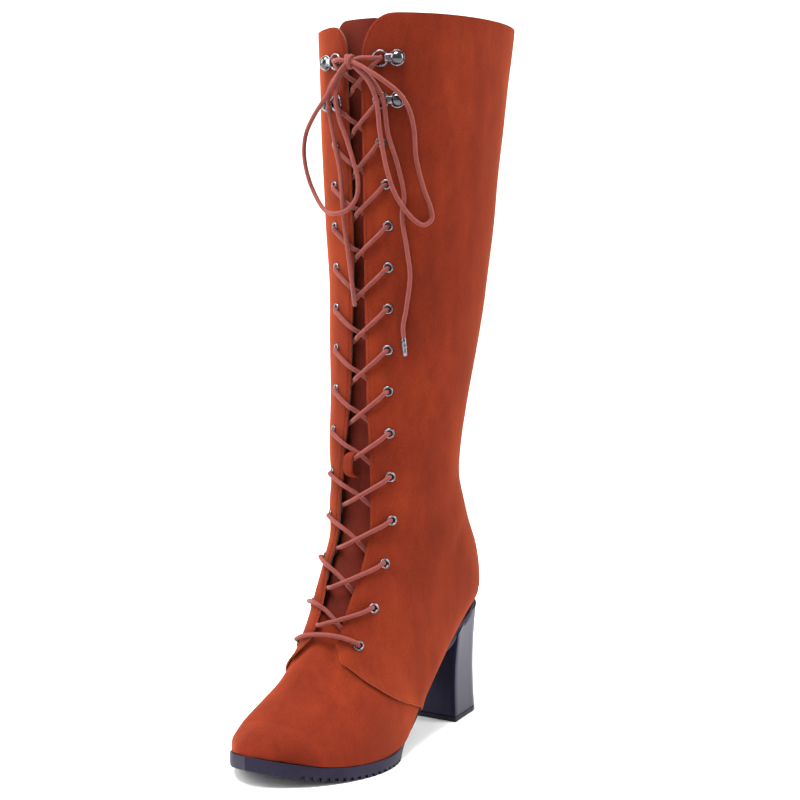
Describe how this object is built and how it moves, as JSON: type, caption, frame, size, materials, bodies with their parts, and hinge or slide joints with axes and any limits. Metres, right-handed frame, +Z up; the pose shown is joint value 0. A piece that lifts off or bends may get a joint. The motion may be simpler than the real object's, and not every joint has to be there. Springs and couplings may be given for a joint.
{
  "type": "knee-high lace-up boot",
  "caption": "Knee-high suede boot with a block heel, laced up the front through eyelets and domed ring holders, with a tied bow.",
  "frame": {"origin": "middle of the heel's tread, on the floor", "axes": "+Z up the shaft, -Y towards the toe, +X towards the outer side of a left boot"},
  "size_m": [0.1093, 0.2348, 0.423],
  "materials": {
    "suede": "rust suede, soft nap",
    "lining": "woven lining",
    "sole_rubber": "matt dark rubber",
    "top_lift_rubber": "matt dark rubber",
    "heel": "satin dark heel",
    "metal": "gunmetal",
    "lace": "braided cord"
  },
  "bodies": {
    "root": {"aglet_inner": "metal", "aglet_outer": "metal", "bow_end_inner": "lace", "bow_end_outer": "lace", "bow_knot": "lace", "bow_loop_inner": "lace", "bow_loop_outer": "lace", "eyelet_inner_01": "metal", "eyelet_inner_02": "metal", "eyelet_inner_03": "metal", "eyelet_inner_04": "metal", "eyelet_inner_05": "metal", "eyelet_inner_06": "metal", "eyelet_inner_07": "metal", "eyelet_inner_08": "metal", "eyelet_inner_09": "metal", "eyelet_inner_10": "metal", "eyelet_inner_11": "metal", "eyelet_inner_12": "metal", "eyelet_inner_13": "metal", "eyelet_outer_01": "metal", "eyelet_outer_02": "metal", "eyelet_outer_03": "metal", "eyelet_outer_04": "metal", "eyelet_outer_05": "metal", "eyelet_outer_06": "metal", "eyelet_outer_07": "metal", "eyelet_outer_08": "metal", "eyelet_outer_09": "metal", "eyelet_outer_10": "metal", "eyelet_outer_11": "metal", "eyelet_outer_12": "metal", "eyelet_outer_13": "metal", "heel_block": "heel", "insole": "lining", "lace_bar": "lace", "lace_crossing_01": "lace", "lace_crossing_02": "lace", "lace_crossing_03": "lace", "lace_crossing_04": "lace", "lace_crossing_05": "lace", "lace_crossing_06": "lace", "lace_crossing_07": "lace", "lace_crossing_08": "lace", "lace_crossing_09": "lace", "lace_crossing_10": "lace", "lace_crossing_11": "lace", "lace_crossing_12": "lace", "lace_crossing_13": "lace", "lace_crossing_14": "lace", "lace_keeper": "suede", "outsole": "sole_rubber", "ring_holder_inner_1": "metal", "ring_holder_inner_2": "metal", "ring_holder_outer_1": "metal", "ring_holder_outer_2": "metal", "tongue": "suede", "top_lift": "top_lift_rubber", "upper": "suede"}
  },
  "joints": []
}
